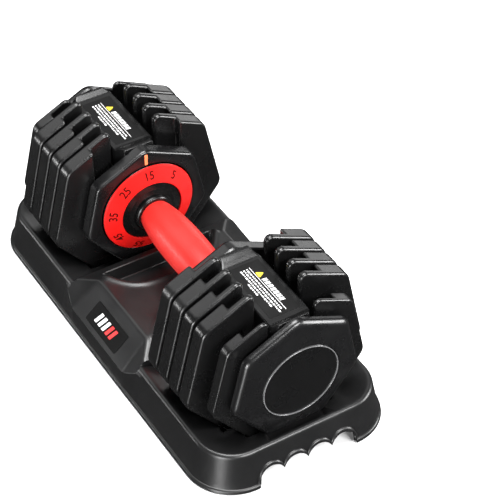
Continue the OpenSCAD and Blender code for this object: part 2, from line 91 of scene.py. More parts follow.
def smin(a, b, k):
    h = max(k - abs(a - b), 0.0) / k
    return min(a, b) - h * h * k * 0.25


def smax(a, b, k):
    return -smin(-a, -b, k)


def solid_mesh(name, verts, faces, smooth):
    """A mesh from points in mm, with doubled points merged and its faces turned outward."""
    mesh = bpy.data.meshes.new(name)
    mesh.from_pydata([(x / 1000, y / 1000, z / 1000) for x, y, z in verts], [], faces)
    bm = bmesh.new()
    bm.from_mesh(mesh)
    bmesh.ops.remove_doubles(bm, verts=bm.verts, dist=1e-6)
    bmesh.ops.recalc_face_normals(bm, faces=bm.faces)
    for face in bm.faces:
        face.smooth = smooth
    bm.to_mesh(mesh)
    bm.free()
    return mesh


def link(name, data):
    obj = bpy.data.objects.new(name, data)
    bpy.context.scene.collection.objects.link(obj)
    return obj


def make(name, part, mat, body, replaces=(), bevel=0.0, segments=3, clamp=True):
    """A smooth-shaded piece from (verts, faces), riding on a body; bevel rounds its edges."""
    mesh = solid_mesh(name, *part, smooth=True)
    mesh.materials.append(mat)
    obj = link(name, mesh)
    if bevel:
        edges = obj.modifiers.new("edges", "BEVEL")
        edges.width = bevel / 1000
        edges.segments = segments
        edges.limit_method = "ANGLE"
        edges.angle_limit = BEVELLED
        edges.use_clamp_overlap = clamp
        normals = obj.modifiers.new("normals", "WEIGHTED_NORMAL")
        normals.keep_sharp = False
        normals.weight = 60
    else:
        mesh.set_sharp_from_angle(angle=SHARP)
    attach(obj, body)
    if replaces:
        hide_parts(*replaces)
    return obj


def carve(obj, part):
    """Takes a closed shape out of a piece's mesh."""
    tool = link("carver", solid_mesh("carver", *part, smooth=False))
    blank = link("blank", obj.data)
    cut = blank.modifiers.new("carve", "BOOLEAN")
    cut.operation = "DIFFERENCE"
    cut.solver = "EXACT"
    cut.object = tool
    bpy.context.view_layer.update()
    result = bpy.data.meshes.new_from_object(blank.evaluated_get(bpy.context.evaluated_depsgraph_get()))
    result.set_sharp_from_angle(angle=SHARP)
    obj.data = result
    for item in (tool, blank):
        bpy.data.objects.remove(item)


def joined(parts):
    """Several (verts, faces) in one."""
    verts, faces = [], []
    for v, f in parts:
        n = len(verts)
        verts += v
        faces += [[i + n for i in face] for face in f]
    return verts, faces


def flip(part, side):
    """The part itself on the right side, its mirror image on the left."""
    verts, faces = part
    return [(side * x, y, z) for x, y, z in verts], faces


def extrude(low, high):
    """A closed solid between two matching outlines."""
    n = len(low)
    faces = [list(range(n))[::-1], list(range(n, 2 * n))]
    faces += [[i, (i + 1) % n, n + (i + 1) % n, n + i] for i in range(n)]
    return low + high, faces


def prism(outline, x0, x1):
    """Extrudes a YZ outline about the grip's axis along X."""
    return extrude([(x0, y, AXIS + z) for y, z in outline], [(x1, y, AXIS + z) for y, z in outline])


def around(x, r, a):
    """A point at distance r from the grip's axis, turned by the angle a from straight up."""
    return (x, r * math.sin(a), AXIS + r * math.cos(a))


def rectangle(x0, x1, y0, y1, radius=0):
    """Corners of a rectangle, each with the radius that rounded() gives it."""
    return [(x0, y0, radius), (x1, y0, radius), (x1, y1, radius), (x0, y1, radius)]


def box_part(x0, x1, y0, y1, z0, z1):
    verts = [(x, y, z) for x in (x0, x1) for y in (y0, y1) for z in (z0, z1)]
    return verts, [[0, 1, 3, 2], [4, 6, 7, 5], [0, 4, 5, 1], [2, 3, 7, 6], [0, 2, 6, 4], [1, 5, 7, 3]]


def rounded(points, radius=0.5, steps=3):
    """Rounds the corners of a closed outline. A point may carry its own radius as a third value."""
    out = []
    n = len(points)
    for i, p in enumerate(points):
        r = p[2] if len(p) > 2 else radius
        if r <= 0:
            out.append((p[0], p[1]))
            continue
        q = Vector(p[:2])
        a = Vector(points[i - 1][:2]) - q
        b = Vector(points[(i + 1) % n][:2]) - q
        turn = math.pi - a.angle(b)
        cut = min(r * math.tan(turn / 2), 0.45 * a.length, 0.45 * b.length)
        start, end = q + a.normalized() * cut, q + b.normalized() * cut
        for step in range(steps + 1):
            t = step / steps
            m = start * (1 - t) ** 2 + q * 2 * t * (1 - t) + end * t * t
            out.append((m.x, m.y))
    return out


def sector_angles(radius, corner):
    """Angles around a seven-sided outline, dense at its round corners."""
    centre = radius - corner / math.cos(HALF)
    limit = math.atan2(corner * math.sin(HALF), centre + corner * math.cos(HALF))
    local = [limit * u for u in (-1, -0.7, -0.35, 0, 0.35, 0.7, 1)]
    local += [lerp(limit, 2 * HALF - limit, t / 11) for t in range(1, 11)]
    return [2 * HALF * s + a for s in range(7) for a in local]


def heptagon_radius(angle, radius, corner):
    """Distance from the axis to the round-cornered outline in one direction."""
    a = abs((angle + HALF) % (2 * HALF) - HALF)
    centre = radius - corner / math.cos(HALF)
    limit = math.atan2(corner * math.sin(HALF), centre + corner * math.cos(HALF))
    if a < limit:
        return centre * math.cos(a) + math.sqrt(corner ** 2 - (centre * math.sin(a)) ** 2)
    return radius * math.cos(HALF) / math.cos(HALF - a)


def polar_loft(rings, angles):
    """Closed skin over rings; each ring is (x, function of angle giving the radius)."""
    verts, faces = [], []
    rows, n = len(rings), len(angles)
    for x, shape in rings:
        for a in angles:
            r = shape(a)
            verts.append(around(x, r, a))
    for j in range(rows):
        k = (j + 1) % rows
        for i in range(n):
            i2 = (i + 1) % n
            faces.append([j * n + i, j * n + i2, k * n + i2, k * n + i])
    return verts, faces


def lathe(profile, count=96):
    """Turns a closed outline of (radius, x) points about the grip's axis."""
    rings = [(x, circ(r)) for r, x in profile]
    return polar_loft(rings, [2 * math.pi * i / count for i in range(count)])


def hept(radius, corner):
    return lambda a: heptagon_radius(a, radius, corner)


def circ(radius):
    return lambda a: radius


# ---------- materials ----------

def set_inputs(node, **values):
    for key, value in values.items():
        node.inputs[key.replace("_", " ")].default_value = value


def plastic(name, color, rough, grain=1400.0, bump=0.12, mottled=0.05, coat=0.0, coat_rough=0.1, spec=0.5,
            drift=0.35, metallic=0.0):
    """Moulded surface: fine grain in the bump, slow drift in roughness and colour."""
    material = bpy.data.materials.new(name)
    material.use_nodes = True
    tree = material.node_tree
    bsdf = tree.nodes["Principled BSDF"]
    place = tree.nodes.new("ShaderNodeTexCoord")
    fine = tree.nodes.new("ShaderNodeTexNoise")
    set_inputs(fine, Scale=grain, Detail=3.0, Roughness=0.6)
    slow = tree.nodes.new("ShaderNodeTexNoise")
    set_inputs(slow, Scale=38.0, Detail=5.0)
    for noise in (fine, slow):
        tree.links.new(place.outputs["Object"], noise.inputs["Vector"])
    relief = tree.nodes.new("ShaderNodeBump")
    set_inputs(relief, Strength=bump, Distance=0.0004)
    tree.links.new(fine.outputs["Fac"], relief.inputs["Height"])
    tree.links.new(relief.outputs["Normal"], bsdf.inputs["Normal"])
    ramp = tree.nodes.new("ShaderNodeMapRange")
    set_inputs(ramp, From_Min=0.3, From_Max=0.7, To_Min=rough * (1 - drift * 0.5),
               To_Max=min(1.0, rough * (1 + drift * 0.5)))
    tree.links.new(slow.outputs["Fac"], ramp.inputs["Value"])
    tree.links.new(ramp.outputs["Result"], bsdf.inputs["Roughness"])
    mix = tree.nodes.new("ShaderNodeMix")
    mix.data_type = "RGBA"
    mix.inputs[6].default_value = (*[c * (1 - mottled) for c in color], 1)
    mix.inputs[7].default_value = (*[min(1, c * (1 + mottled)) for c in color], 1)
    tree.links.new(slow.outputs["Fac"], mix.inputs["Factor"])
    tree.links.new(mix.outputs[2], bsdf.inputs["Base Color"])
    set_inputs(bsdf, Metallic=metallic, Specular_IOR_Level=spec, Coat_Weight=coat, Coat_Roughness=coat_rough)
    return material


MAT = {
    "plate": plastic("plate_coating", (0.0034, 0.0034, 0.0035), 0.28, grain=1100, bump=0.12, spec=0.46),
    "tray": plastic("tray_plastic", (0.0056, 0.0056, 0.0058), 0.34, grain=1100, bump=0.08, spec=0.46),
    "cap": plastic("cap_plastic", (0.0034, 0.0034, 0.0036), 0.28, grain=1100, bump=0.08, spec=0.46),
    "spine": plastic("core_plastic", (0.0036, 0.0036, 0.0037), 0.27, bump=0.08, spec=0.42),
    "dark": plastic("dial_black", (0.0022, 0.0022, 0.0022), 0.26, bump=0.06, spec=0.4),
    "label": plastic("label_film", (0.0020, 0.0020, 0.0020), 0.34, grain=500, bump=0.02, spec=0.26),
    "badge": plastic("badge_face", (0.0015, 0.0015, 0.0015), 0.5, grain=500, bump=0.02, spec=0.12),
    "disc_face": plastic("disc_face", (0.0026, 0.0026, 0.0027), 0.30, grain=1100, bump=0.08, spec=0.36),
    # glossy rim round the end disc: its pale grey base colour is painted highlight along the lip
    "rim": plastic("disc_rim_painted_highlight", (0.09, 0.09, 0.092), 0.16, grain=900, bump=0.02, spec=0.6, coat=0.6,
                   coat_rough=0.08),
    "red": plastic("grip_red", (0.45, 0.013, 0.0095), 0.46, grain=620, bump=0.30, mottled=0.10, spec=0.36,
                   coat=0.05, coat_rough=0.25),
    "ring": plastic("number_ring_red", (0.42, 0.0060, 0.0050), 0.46, grain=900, bump=0.04, mottled=0.03,
                    spec=0.09),
    "orange": plastic("pointer_orange", (0.72, 0.16, 0.06), 0.4, grain=900, bump=0.03),
    "number": plastic("number_dark", (0.035, 0.0015, 0.001), 0.6, grain=900, bump=0.0, spec=0.04),
    "white": plastic("mark_white", (0.75, 0.75, 0.75), 0.45, grain=900, bump=0.02),
    "mark_red": plastic("mark_red", (0.62, 0.02, 0.02), 0.42, grain=900, bump=0.02),
    "yellow": plastic("mark_yellow", (0.8, 0.6, 0.03), 0.45, grain=900, bump=0.02),
    "rubber": plastic("foot_rubber", (0.015, 0.015, 0.015), 0.75, grain=700, bump=0.3),
    "steel": plastic("turned_steel", (0.56, 0.56, 0.57), 0.28, grain=2200, bump=0.08, metallic=1.0),
    "spring": plastic("spring_steel", (0.48, 0.48, 0.49), 0.33, grain=2600, bump=0.06, metallic=1.0),
    "bush": plastic("bearing_plastic", (0.62, 0.57, 0.42), 0.45, grain=900, bump=0.05),
    "disc": plastic("cast_zinc", (0.42, 0.42, 0.41), 0.45, grain=600, bump=0.25, metallic=0.9),
    "spacer": plastic("spacer_plastic", (0.05, 0.05, 0.052), 0.4, grain=900, bump=0.06),
}


# ---------- weight plates ----------

def plate_outlines(radius, corner):
    """Outside path from the right edge of the recess round to the left one, and the two slot paths."""
    inner = radius - corner / math.cos(HALF)
    def roof(y):
        return (radius * math.cos(HALF) - y * math.sin(HALF)) / math.cos(HALF)
    path = [(RECESS, roof(RECESS))]
    for i in range(1, 7):
        c = 2 * HALF * i
        for t in range(7):
            a = c - HALF + 2 * HALF * t / 6
            path.append((inner * math.sin(c) + corner * math.sin(a),
                         inner * math.cos(c) + corner * math.cos(a)))
    path.append((-RECESS, roof(RECESS)))
    def slot_path(w, steps, tip):
        """A round-bottomed slot of half width w, with round tips at its mouth."""
        angles = [math.pi * t / steps for t in range(steps + 1)]
        low = [(-w * math.cos(a), -w * math.sin(a)) for a in angles]
        top = [] if tip else [(w, roof(w))]
        for t in range(10 if tip else 0):
            a = -math.pi / 2 + (math.pi / 2 + HALF) * t / 9
            top.append((w + tip + tip * math.sin(a),
                        roof(w + tip) - tip / math.cos(HALF) + tip * math.cos(a)))
        return [(-y, z) for y, z in top[::-1]] + low + top
    return path, slot_path(RECESS, 24, 0), slot_path(SLOT, 20, SLOT_TIP)


def plate_mesh(x0, thick, depth, radius, corner):
    """A seven-sided plate with a slot to its middle and a wider recess, depth deep, in its inner face."""
    path, wide, narrow = plate_outlines(radius, corner)
    xm, x1 = x0 + depth, x0 + thick
    verts, index = [], {}
    def v(x, p):
        key = (round(x, 4), round(p[0], 4), round(p[1], 4))
        if key not in index:
            index[key] = len(verts)
            verts.append((x, p[0], AXIS + p[1]))
        return index[key]
    faces = [[v(x0, p) for p in path + wide[1:-1]], [v(x1, p) for p in path + narrow]]
    faces.append([v(xm, p) for p in wide] + [v(xm, p) for p in narrow[::-1]])
    last = len(path) - 2
    for i in range(last + 1):
        face = [v(x0, path[i]), v(x0, path[i + 1])]
        if i == last:
            face.append(v(xm, path[i + 1]))
        face += [v(x1, path[i + 1]), v(x1, path[i])]
        if i == 0:
            face.append(v(xm, path[i]))
        faces.append(face)
    for a, b in zip(wide, wide[1:]):
        faces.append([v(x0, a), v(x0, b), v(xm, b), v(xm, a)])
    ends = [(wide[0], narrow[0]), (wide[-1], narrow[-1])]
    for a, b in list(zip(narrow, narrow[1:])) + ends:
        faces.append([v(xm, a), v(xm, b), v(x1, b), v(x1, a)])
    return verts, faces


def hook_mesh(x0, x1):
    """The catch under the slot that a selector disc's lip lifts."""
    out = []
    for r, way in ((HOOK_OUT, 1), (HOOK_IN, -1)):
        for t in range(-6, 7):
            a = math.pi + HOOK_HALF * t / 6 * way
            out.append((r * math.sin(a), r * math.cos(a)))
    return prism(out, x0, x1)


for k in range(1, 6):
    if k < 5:
        x0 = FIRST + (k - 1) * PITCH
        plate = plate_mesh(x0, THICK, PLATE_DEPTH, PLATE_R, PLATE_CORNER)
        hook = hook_mesh(x0 + 4.35, x0 + 8.65)
        soft_edge = 2.7
    else:
        plate = plate_mesh(SMALL_X, SMALL_T, SMALL_DEPTH, SMALL_R, SMALL_CORNER)
        hook = hook_mesh(SMALL_X + 3.8, SMALL_X + 7.2)
        soft_edge = 2.0
    for side, hand in BOTH:
        node = f"plate_{k}_{hand}"
        body = "plates_1" if k == 1 else node
        make("coated_" + node, flip(plate, side), MAT["plate"], body, [node],
             bevel=soft_edge, segments=5, clamp=False)
        make("catch_" + node, flip(hook, side), MAT["plate"], body, bevel=0.6, segments=2)


# ---------- caps, spine, end disc ----------

def inner_cap(side, hand):
    front, back = CAP_FRONT, CAP_BACK
    rings = [(back - 0.05, hept(CAP_R - 1.5, 10.5)), (back - 1.3, hept(CAP_R, 11)),
             (front + 3.4, hept(CAP_R, 11)), (front + 2.2, hept(64.15, 10.9)),
             (front + 1.1, hept(63.5, 10.7)), (front + 0.4, hept(62.5, 10.4)),
             (front + 0.05, hept(61.2, 10)), (front, hept(60.2, 9.6)), (front, circ(48.4)),
             (front + 0.2, circ(47.8)), (front + 0.7, circ(47.45)),
             (CAP_WALL - 0.1, circ(47.35)), (CAP_WALL, circ(47.2)), (CAP_WALL, circ(16)),
             (CAP_WALL + 0.2, circ(14.2)), (back - 0.3, circ(14.05)), (back - 0.05, circ(14.3))]
    part = flip(polar_loft(rings, sector_angles(CAP_R, 11.0)), side)
    shell = make("inner_cap_shell_" + hand, part, MAT["cap"], "core", ["inner_cap_" + hand])
    # the groove of the lock pin and its spring, open below for the tray's post
    pin = [1000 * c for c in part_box("lock_pin_right")[1]]
    groove_top = 1000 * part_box("lock_spring_right")[1][2] + 0.5
    half = pin[1] + 0.3
    groove = box_part(CAP_WALL - 1, pin[0] + 0.3, -half, half, AXIS - CAP_R, groove_top)
    carve(shell, flip(groove, side))
    outline = rounded(rectangle(-1.5, 1.5, 48.6, 60.0, 0.6))
    part = flip(prism(outline, front - 0.22, front + 0.6), side)
    make("pointer_mark_" + hand, part, MAT["orange"], "core", ["pointer_" + hand],
         bevel=0.12, segments=2)


def end_cap(side, hand):
    back, edge, top = END_BACK, END_EDGE, END_TOP
    def blend(weight, round_radius, corner_radius):
        """An outline between the heptagon and a circle."""
        return lambda a: lerp(heptagon_radius(a, corner_radius, 11.0), round_radius, weight)
    side_wall = [(back + 0.02, circ(7.0)), (back + 0.02, hept(CAP_R - 1.5, 11.5)),
                 (back + 1.2, hept(CAP_R, 12)), (edge - 5.6, hept(CAP_R, 12))]
    shoulder = [(edge - 3.8, hept(64.0, 12)), (edge - 2.2, hept(62.9, 11.8)), (edge - 0.9, hept(61.2, 11.5)),
                (edge - 0.1, hept(59.2, 11.2)), (edge + 0.2, hept(57.4, 11.0)),
                (edge + 0.45, hept(55.6, 11.0))]
    dome = [(edge + 1.0, blend(0.25, 48.5, 54.0)), (edge + 2.0, blend(0.55, 45.5, 51.0)),
            (edge + 3.1, blend(0.85, 42.6, 47.5)), (top - 0.4, circ(40.2)), (top - 0.05, circ(38.9))]
    disc_seat = [(top - 0.05, circ(38.3)), (top - 0.3, circ(37.7)), (top - 0.9, circ(37.45)),
                 (DISC_BACK - 0.03, circ(37.4)),
                 (DISC_BACK - 0.06, circ(36.9)), (DISC_BACK - 0.06, circ(14.2))]
    nut_pocket = [(181.2, circ(14.0)), (181.05, circ(13.6)), (181.05, circ(7.0))]
    rings = side_wall + shoulder + dome + disc_seat + nut_pocket
    part = flip(polar_loft(rings, sector_angles(CAP_R, 12.0)), side)
    make("end_cap_shell_" + hand, part, MAT["cap"], "core", ["end_cap_" + hand])
    # flat disc in the cap's face, inside a thin glossy rim; the rim's pale grey colour is painted highlight
    outline = rounded([(0.4, DISC_BACK, 0), (DISC_R - 0.05, DISC_BACK, 0.2), (DISC_R, DISC_FRONT, 0.3),
                       (30.0, DISC_FRONT, 0), (20.0, DISC_FRONT, 0), (0.4, DISC_FRONT, 0)], 0.3, 4)
    part = flip(lathe(outline, 128), side)
    make("end_disc_face_" + hand, part, MAT["disc_face"], "core", ["end_disc_" + hand])
    # the rim: a real raised lip, its pale grey colour painted highlight
    outline = rounded([(36.1, DISC_BACK, 0.1), (36.95, DISC_BACK, 0.1), (36.95, 190.85, 0.4),
                       (36.1, 190.85, 0.4)], 0.25, 5)
    make("end_disc_rim_" + hand, flip(lathe(outline, 128), side), MAT["rim"], "core")


def spine(side, hand):
    """The bridge over the plates' slots, with sloped shoulders where it meets the two caps."""
    top, w, foot = SPINE_Z, SPINE_HALF, 37.0
    # (place along the grip, height of the top, half width of the top)
    stations = [(81.6, 61.6, 15.5), (84.5, 61.4, 15.5), (87.5, 60.6, 16.2), (90.0, 59.4, 17.4),
                (92.2, 58.2, 18.8), (94.0, top, w), (96.0, top, w), (167.5, top, w), (169.5, top, w),
                (171.0, 58.3, 18.8), (172.8, 59.3, 17.4), (174.6, 60.4, 16.2), (176.9, 61.0, 15.5)]
    verts = []
    for x, high, half in stations:
        section = [(-w, foot), (w, foot), (half, top - 2.2), (half - 0.7, high - 0.7), (half - 2.2, high),
                   (2.2 - half, high), (0.7 - half, high - 0.7), (-half, top - 2.2)]
        verts += [(x, y, AXIS + z) for y, z in section]
    m, n = len(stations), 8
    faces = []
    for j in range(m - 1):
        for i in range(n):
            i2 = (i + 1) % n
            faces.append([j * n + i, j * n + i2, (j + 1) * n + i2, (j + 1) * n + i])
    faces += [list(range(n)), list(range((m - 1) * n, m * n))]
    lug = box_part(169.4, 176.9, -17.8, 17.8, AXIS + 22.2, AXIS + foot + 0.6)
    part = flip(joined([(verts, faces), lug]), side)
    make("spine_bridge_" + hand, part, MAT["spine"], "core", ["spine_" + hand], bevel=0.7)


def label(side, hand):
    """Label film with plain marks, which run the same way on both heads."""
    film_z = AXIS + SPINE_Z + 0.06
    shift = 0 if side > 0 else -LABEL_X0 - LABEL_X1
    low, high = film_z + 0.11, film_z + 0.18
    def flat(outline, z0, z1):
        return extrude([(x + shift, y, z0) for x, y in outline], [(x + shift, y, z1) for x, y in outline])
    def bar(x0, x1, y0, y1):
        return flat([(x0, y0), (x1, y0), (x1, y1), (x0, y1)], low, high)
    film = flat(rounded(rectangle(LABEL_X0, LABEL_X1, -LABEL_HALF, LABEL_HALF, 1.5), 1.5, 4), film_z - 0.1,
                film_z + 0.12)
    make("label_film_" + hand, film, MAT["label"], "core", ["spine_label_" + hand])
    marks = [bar(103.0, 161.0, 2.2, 2.65)]
    for r, (start, y, length) in enumerate(DASH_ROWS):
        x, i = start, 0
        while x < start + length - 2:
            wide = 1.0 + 1.9 * ((i * 7 + r * 5) % 4) / 3
            tall = 0.55 + 0.16 * ((i * 5 + r) % 3)
            marks.append(bar(x, x + wide, y - tall, y + 0.6))
            x += wide + 1.15
            i += 1
    make("label_lines_" + hand, joined(marks), MAT["white"], "core")
    slanted = []        # seven pairs of short slanted bars
    for i in range(14):
        x = 120.4 + 4.4 * (i // 2) + 1.9 * (i % 2)
        slanted.append(flat([(x, 3.9), (x + 1.15, 3.9), (x + 1.95, 8.4), (x + 0.8, 8.4)], low, high))
    make("label_bars_" + hand, joined(slanted), MAT["white"], "core")
    triangle = flat(rounded([(110.6, 3.6), (118.2, 3.6), (114.4, 10.0)], 0.9, 4), low, high)
    make("label_dot_" + hand, triangle, MAT["yellow"], "core")


for side, hand in BOTH:
    inner_cap(side, hand)
    end_cap(side, hand)
    spine(side, hand)
    label(side, hand)


# ---------- grip and dials ----------

def grip():
    def barrel(u):
        return (GRIP_END + GRIP_BULGE * (1 - abs(u) ** 2.4) - 0.02, u * GRIP_HALF)
    bore = 12.1
    inward = [(bore, -GRIP_HALF), (14.2, -GRIP_HALF), (14.8, 0.15 - GRIP_HALF)]
    outward = [(r, -x) for r, x in inward[::-1]]
    profile = inward + [barrel(i / 20 - 1) for i in range(1, 40)] + outward
    make("grip_sleeve", lathe(profile), MAT["red"], "selector", ["grip"])
    profile = rounded([(bore, 55.1, 0.2), (17.2, 55.1, 1.0), (18.35, 56.4, 1.4), (18.35, 58.2, 0.8),
                       (17.9, 59.25, 0.3), (bore, 59.25, 0.1)], 0.3, 4)
    collars = joined([flip(lathe(profile), side) for side in (1, -1)])
    make("grip_end_collars", collars, MAT["dark"], "selector", ["grip_collars"])


def cone_x(r):
    """Place along the grip of the number ring's face at one radius."""
    return 60.5 + (r - 31.0) * (6.0 / 15.1)


def lock_ring():
    """Ring behind the dial with a notch on its inside for every weight."""
    turns = []
    for i in range(9):
        a = math.radians(STEP / 2 + STEP * i)
        deep = LOCK_NOTCH if i < len(WEIGHTS) else LOCK_IN
        turns += [(a - NOTCH_HALF - 0.001, LOCK_IN), (a - NOTCH_HALF, deep), (a, deep),
                  (a + NOTCH_HALF, deep), (a + NOTCH_HALF + 0.001, LOCK_IN)]
        turns += [(a + math.radians(t), LOCK_IN) for t in (10, 15, 20, 25, 30)]
    inside = [r for a, r in turns]
    outside = [LOCK_OUT] * len(turns)
    verts, faces, n = [], [], len(turns)
    for radii, x in ((inside, LOCK_FRONT), (outside, LOCK_FRONT), (outside, LOCK_BACK), (inside, LOCK_BACK)):
        for (a, _), r in zip(turns, radii):
            verts.append(around(x, r, a))
    for j in range(4):
        for i in range(n):
            k, m = (i + 1) % n, (j + 1) % 4
            faces.append([j * n + i, j * n + k, m * n + k, m * n + i])
    return verts, faces


def number_mesh(word):
    """Points, in mm, and faces of one raised number, centred on its own middle."""
    curve = bpy.data.curves.new("number", "FONT")
    curve.body = word
    curve.size = NUMBER_SIZE
    curve.offset = 0.1
    curve.align_x = "CENTER"
    curve.align_y = "CENTER"
    curve.extrude = 0.5
    holder = link("number", curve)
    bpy.context.view_layer.update()
    mesh = holder.evaluated_get(bpy.context.evaluated_depsgraph_get()).to_mesh()
    part = [tuple(v.co) for v in mesh.vertices], [list(f.vertices) for f in mesh.polygons]
    bpy.data.objects.remove(holder)
    bpy.data.curves.remove(curve)
    return part


def dial_numbers(side):
    """Numbers bent onto the cone, upright when they stand under the pointer."""
    parts = []
    for i, word in enumerate(WEIGHTS):
        turn = math.radians(-(i - 1) * STEP)
        points, faces = number_mesh(word)
        verts = []
        for across, up, out in points:
            r = NUMBER_R + up
            a = turn - side * across / NUMBER_R
            x = cone_x(r) - (0.22 if out > 0 else -0.3)
            verts.append(around(side * x, r, a))
        parts.append((verts, faces))
    return joined(parts)


def dial(side, hand):
    profile = rounded([(12.1, 59.45, 0.2), (20.0, 59.45, 0.8), (23.5, 60.9, 1.2), (30.15, 61.5, 0.3),
                       (30.15, 62.45, 0.1), (46.4, 68.15, 0.3), (46.4, 71.95, 0.4),
                       (12.1, 71.95, 0.2)], 0.3, 3)
    part = flip(joined([lathe(profile, 128), lock_ring()]), side)
    make("dial_body_" + hand, part, MAT["dark"], "selector", ["dial_" + hand])
    profile = rounded([(RING_IN, cone_x(30.6) + 0.3, 0.5), (31.3, cone_x(31.3), 0.7),
                       (45.6, cone_x(45.6), 0.9), (RING_OUT, cone_x(46.4) + 0.6, 0.5), (RING_OUT, 67.95, 0.2),
                       (RING_IN, 62.3, 0.2)], 0.4, 4)
    part = flip(lathe(profile, 128), side)
    make("dial_number_ring_" + hand, part, MAT["ring"], "selector",
         ["number_ring_" + hand])
    make("dial_numbers_" + hand, dial_numbers(side), MAT["number"], "selector")


grip()
for side, hand in BOTH:
    dial(side, hand)


# ---------- tray ----------

LEN, WID, CORNER = 208.4, 95.9, 44.9         # half length, half width and corner radius at the ground
RIM_Z, FLOOR_Z = 38.95, 28.0                 # tops of the rim and of the dish's floor
LEAN, LEDGE, SOFT = 8.9, 1.9, 4.6            # lean of the skirt, width of its ledge, round of the rim
FOOT_Z, LEDGE_H = 1.0, 6.0                   # lower edge of the skirt, height of the ledge above it
ARCH_PITCH, ARCH_R, ARCH_Z = 24.1, 13.1, 5.4      # arches under each end
RIDGE_Z, RIDGE_Y, RIDGE_X = 48.8, 65.6, 43.2      # upper corner of the badge pad
PAD_LOW_Z, PAD_LOW_Y, PAD_LOW_X = 23.3, 94.4, 47.4     # lower corner of the pad
PAD_END = Vector((71.0, 86.4, 39.0))              # where the facet beside the pad meets the rim
PAD_TOP = Vector((RIDGE_X, RIDGE_Y, RIDGE_Z))
PAD_LOW = Vector((PAD_LOW_X, PAD_LOW_Y, PAD_LOW_Z))
FACET = (PAD_LOW - PAD_TOP).cross(PAD_END - PAD_TOP)
PAD_FALL = (RIDGE_Z - PAD_LOW_Z) / (PAD_LOW_Y - RIDGE_Y)
SCOOP_Y, SCOOP_NEAR, SCOOP_FAR = 60.5, 19.0, 53.2      # half width of a finger scoop, its near and far edge
SCOOP_BEND, SCOOP_DEPTH = 34.0, 15.0              # how far the near edge bends outward, depth
BLOCK_X = 66.0                                    # end of the block in the middle
WELL_X0, WELL_X1, WELL_X2 = 80.6, 157.2, 176.4    # wells of the large plates and of the small one
WELL_Y, SMALL_WELL_Y = 57.0, 43.0                 # half widths of the wells
WELL_Z, SMALL_WELL_Z = 7.6, 18.9                  # floors of the wells


def pad_surface(x, y):
    """Height of the badge pad and of the facets beside it."""
    x, y = abs(x), abs(y)
    flat = RIDGE_Z - (y - RIDGE_Y) * PAD_FALL
    facet = RIDGE_Z - (FACET.x * (x - RIDGE_X) + FACET.y * (y - RIDGE_Y)) / FACET.z
    return smax(flat, facet, 0.9)


def scoop(x, y):
    """Depth of the finger scoops, with a soft raised lip on the side of the middle."""
    x, y = abs(x), abs(y)
    if y > SCOOP_Y or x > 56:
        return 0.0
    u = y / SCOOP_Y
    slope = SCOOP_BEND * 4.0 / SCOOP_Y * u ** 3
    near = (x - SCOOP_NEAR - SCOOP_BEND * u ** 4) / math.sqrt(1 + slope * slope)
    far = SCOOP_FAR - x
    lip = 1.5 * math.exp(-((near + 1.5) / 3.0) ** 2) * smooth(-1.0, 3.0, far)
    if min(near, far) <= 0:
        return -lip
    return SCOOP_DEPTH * smooth(0.0, 9.0, near) * smooth(0.0, 2.6, far) - lip


def rim_depth(x, y):
    """Distance inward from the top of the skirt."""
    half_l, half_w, r = LEN - LEAN, WID - LEAN, CORNER - LEAN
    qx, qy = abs(x) - (half_l - r), abs(y) - (half_w - r)
    return r - math.hypot(max(qx, 0.0), max(qy, 0.0)) - min(max(qx, qy), 0.0)


def inside_height(x, y):
    """Upper surface of the tray inside its rim."""
    ax, ay = abs(x), abs(y)
    d = max(0.0, rim_depth(x, y))
    rim = RIM_Z - SOFT * (1 - math.sqrt(max(0.0, 1 - (1 - min(d, SOFT) / SOFT) ** 2)))
    wall = RIM_Z - 0.15 - (d - SOFT) * 0.40
    z = smin(rim, wall, 0.8) if d > 1.6 else rim
    z = smax(z, FLOOR_Z, 2.5)
    # pocket in the end wall that the end cap dips into
    if 170 < ax < 194 and ay < 50:
        under_cap = AXIS - 59.3 + max(0.0, ay - 27.5) * 1.254
        z = lerp(z, min(z, under_cap), smooth(193.4, 191.9, ax))
    # block in the middle: a shallow valley across it, falling towards its ends, and the badge pads
    valley = 46.2 + 2.6 * (ay / RIDGE_Y) ** 2
    ends = RIDGE_Z - 0.366 * (ax - RIDGE_X)
    block = smin(valley, ends, 1.5) - 20.0 * smooth(62.4, 65.6, ax)
    block = smin(block, pad_surface(x, y), 0.5)
    if ax < BLOCK_X:
        z = smax(z, block, 1.2)
    if ax < 90 and ay > 60:
        z = min(z, pad_surface(x, y))
    z -= scoop(x, y)
    if WELL_X0 < ax < WELL_X1 and ay < WELL_Y:
        return min(z, WELL_Z)
    if WELL_X1 <= ax < WELL_X2 and ay < SMALL_WELL_Y:
        return min(z, SMALL_WELL_Z)
    return z


def steps_along(stops):
    """Evenly spaced values from stop to stop; each stop is (value, spacing up to the next)."""
    values = []
    for (a, spacing), (b, _) in zip(stops, stops[1:]):
        n = max(1, round(abs(b - a) / spacing))
        values += [a + (b - a) * i / n for i in range(n)]
    return values


def perimeter():
    """Points around the tray at the ground with their outward normals, dense where there is detail."""
    sx, sy = LEN - CORNER, WID - CORNER
    long_side = steps_along([(sx, 3.0), (80, 1.0), (60, 0.9), (42, 1.5), (-42, 0.9), (-60, 1.0), (-80, 3.0),
                             (-sx, 0)])
    short_side = steps_along([(-sy, 0.8), (-49.4, 0.3), (-48.2, 0.8), (48.2, 0.3), (49.4, 0.8), (sy, 0)])
    sides = ([(LEN, y, 1, 0) for y in short_side], [(x, WID, 0, 1) for x in long_side],
             [(-LEN, -y, -1, 0) for y in short_side], [(-x, -WID, 0, -1) for x in long_side])
    centres = ((sx, sy), (-sx, sy), (-sx, -sy), (sx, -sy))
    points = []
    for quarter, (side, (cx, cy)) in enumerate(zip(sides, centres)):
        points += side
        for i in range(22):
            nx = math.cos(math.pi / 2 * (quarter + i / 22))
            ny = math.sin(math.pi / 2 * (quarter + i / 22))
            points.append((cx + CORNER * nx, cy + CORNER * ny, nx, ny))
    return points


